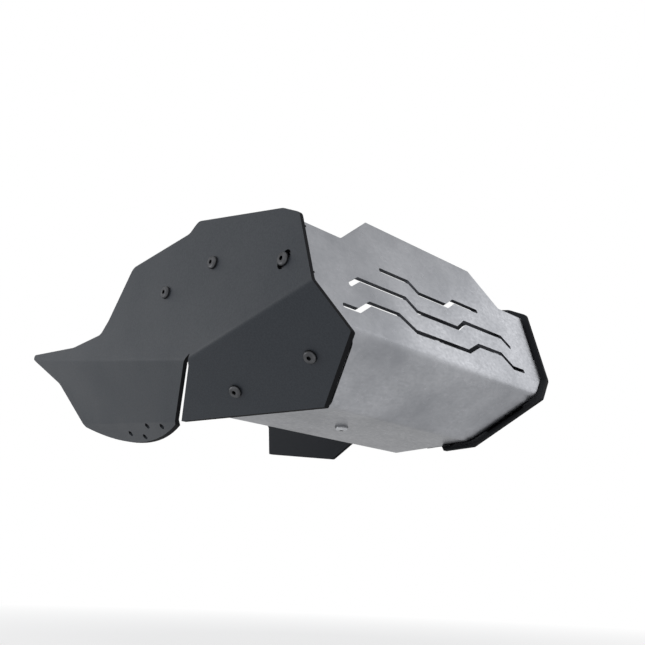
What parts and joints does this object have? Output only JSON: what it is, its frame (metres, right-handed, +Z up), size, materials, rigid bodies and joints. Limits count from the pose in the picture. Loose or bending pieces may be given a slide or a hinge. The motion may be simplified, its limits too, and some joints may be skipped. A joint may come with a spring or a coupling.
{
  "type": "motorcycle skid plate",
  "caption": "Bolted sheet-metal skid plate for a motorcycle: folded bright front plate with zigzag vents between dark folded side panels, held by engine brackets.",
  "frame": {"origin": "midway between the two engine bolt holes, on the top faces of the bracket tabs", "axes": "+X to the rider's left, +Y to the rear, +Z up along the engine bolts"},
  "size_m": [0.2754, 0.3742, 0.149],
  "materials": {
    "plate_metal": "bare, fine brushed and blasted",
    "panel_coat": "satin anthracite powder coat",
    "bracket_paint": "matte black",
    "screw_black": "blackened",
    "zinc": "zinc plated"
  },
  "bodies": {
    "root": {"centre_plate": "plate_metal", "right_panel": "panel_coat", "left_panel": "panel_coat", "right_bracket": "bracket_paint", "left_bracket": "bracket_paint", "sump_bracket": "bracket_paint", "left_bracket_nuts": "zinc", "left_bracket_screws": "screw_black", "left_bracket_washers": "zinc", "left_flap_nuts": "zinc", "left_flap_screws": "screw_black", "left_flap_washers": "zinc", "left_front_nut": "zinc", "left_front_screw": "screw_black", "left_front_washer": "zinc", "right_bracket_nuts": "zinc", "right_bracket_screws": "screw_black", "right_bracket_washers": "zinc", "right_flap_nuts": "zinc", "right_flap_screws": "screw_black", "right_flap_washers": "zinc", "right_front_nut": "zinc", "right_front_screw": "screw_black", "right_front_washer": "zinc", "sump_nut": "zinc", "sump_screw": "zinc", "sump_washer": "zinc"}
  },
  "joints": []
}
